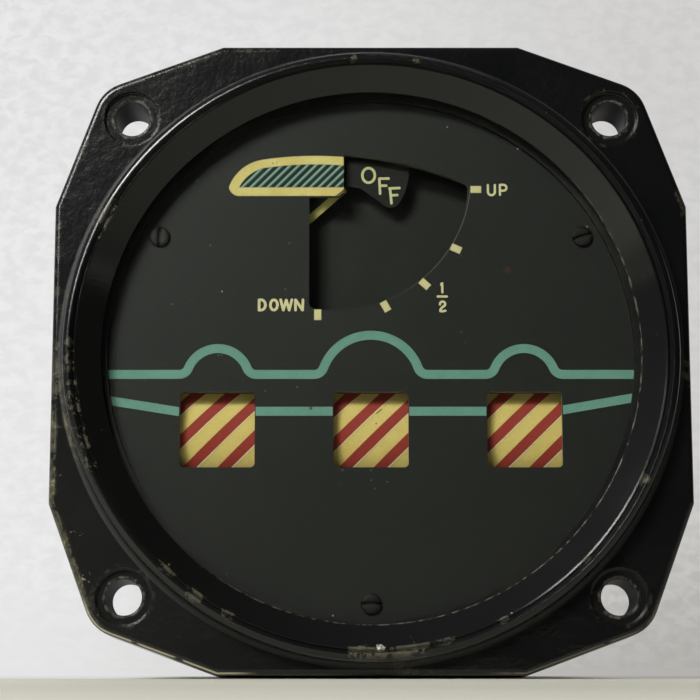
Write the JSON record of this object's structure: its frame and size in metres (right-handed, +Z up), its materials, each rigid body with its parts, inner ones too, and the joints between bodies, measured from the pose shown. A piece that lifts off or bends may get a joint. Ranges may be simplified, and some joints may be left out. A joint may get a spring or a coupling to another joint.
{
  "type": "wheel and flap position indicator",
  "caption": "Round-dial panel instrument in a square flanged case: striped drums for wheel position, a pivoted flap pointer on a wing outline, a drop flag and a rear electrical receptacle.",
  "frame": {"origin": "centre of the four mounting holes, on the front face of the flange", "axes": "dial faces -Y, +X is the right of the dial as read, +Z is up"},
  "size_m": [0.0826, 0.0782, 0.0826],
  "materials": {
    "case_paint": "semi-gloss black paint, lumpy and chipped",
    "ring_black": "satin black",
    "cover_glass": "clear, anti-reflection coated",
    "black_rubber": "matte",
    "dial_paint": "matte dark grey-green",
    "green_paint": "matte pale green",
    "cream_paint": "matte cream yellow",
    "red_paint": "matte dark red",
    "drum_paint": "matte dark grey",
    "steel": "plain",
    "aluminium": "plain",
    "brass": "plain",
    "black_plate": "matte black anodised",
    "iron": "laminated",
    "magnet": "ground",
    "copper_winding": "enamelled wire",
    "insert_resin": "matte",
    "olive_plating": "dull plating"
  },
  "bodies": {
    "body": {"case": "case_paint", "retaining_ring": "ring_black", "cover_glass": "cover_glass", "glass_gasket": "black_rubber", "dial_spacer_ring": "ring_black", "dial_plate": "dial_paint", "dial_green_marks": "green_paint", "dial_cream_marks": "cream_paint", "dial_screws": "dial_paint", "dial_posts": "brass", "front_plate": "black_plate", "rear_plate": "aluminium", "front_pillars": "aluminium", "rear_pillars": "aluminium", "case_screws": "steel", "drum_frame": "aluminium", "drum_bushes": "brass", "mechanism_screws": "steel", "flap_bushes": "brass", "flap_stator_core": "iron", "flap_stator_windings": "copper_winding", "flap_motor_case": "aluminium", "flap_motor_cap": "aluminium", "off_flag_core": "iron", "off_flag_coil": "copper_winding", "off_flag_bracket": "aluminium", "off_flag_bushes": "brass", "connector_shell": "olive_plating", "connector_insert": "insert_resin", "connector_pins": "brass", "connector_screws": "steel", "connector_gasket": "black_rubber", "left_drum_core": "iron", "left_drum_coils": "copper_winding", "centre_drum_core": "iron", "centre_drum_coils": "copper_winding", "right_drum_core": "iron", "right_drum_coils": "copper_winding"},
    "flap_pointer_unit": {"flap_pointer": "drum_paint", "flap_pointer_marks": "cream_paint", "flap_shaft": "steel", "flap_magnet": "magnet"},
    "off_flag_unit": {"off_flag": "drum_paint", "off_flag_shaft": "steel", "off_flag_magnet": "magnet"},
    "left_wheel": {"left_drum": "cream_paint", "left_drum_stripes": "red_paint", "left_drum_shaft": "steel", "left_drum_magnet": "magnet"},
    "centre_wheel": {"centre_drum": "cream_paint", "centre_drum_stripes": "red_paint", "centre_drum_shaft": "steel", "centre_drum_magnet": "magnet"},
    "right_wheel": {"right_drum": "cream_paint", "right_drum_stripes": "red_paint", "right_drum_shaft": "steel", "right_drum_magnet": "magnet"}
  },
  "joints": [
    {"name": "flap_pointer_turn", "type": "hinge", "parent": "body", "child": "flap_pointer_unit", "pos_m": [-0.00695, 0, 0.02245], "axis": [0, -1, 0], "range_deg": [0, 132.8], "stiffness_Nm_per_rad": 0.0001},
    {"name": "off_flag_turn", "type": "hinge", "parent": "body", "child": "off_flag_unit", "pos_m": [-0.0125, 0, 0.0264], "axis": [0, -1, 0], "range_deg": [0, 27], "stiffness_Nm_per_rad": 0.0001},
    {"name": "left_wheel_turn", "type": "hinge", "parent": "body", "child": "left_wheel", "pos_m": [-0.01995, 0.0157, -0.00958], "axis": [1, 0, 0], "range_deg": [-53, 53], "stiffness_Nm_per_rad": 0.004},
    {"name": "centre_wheel_turn", "type": "hinge", "parent": "body", "child": "centre_wheel", "pos_m": [0, 0.0157, -0.00958], "axis": [1, 0, 0], "range_deg": [-53, 53], "stiffness_Nm_per_rad": 0.004},
    {"name": "right_wheel_turn", "type": "hinge", "parent": "body", "child": "right_wheel", "pos_m": [0.01995, 0.0157, -0.00958], "axis": [1, 0, 0], "range_deg": [-53, 53], "stiffness_Nm_per_rad": 0.004}
  ]
}
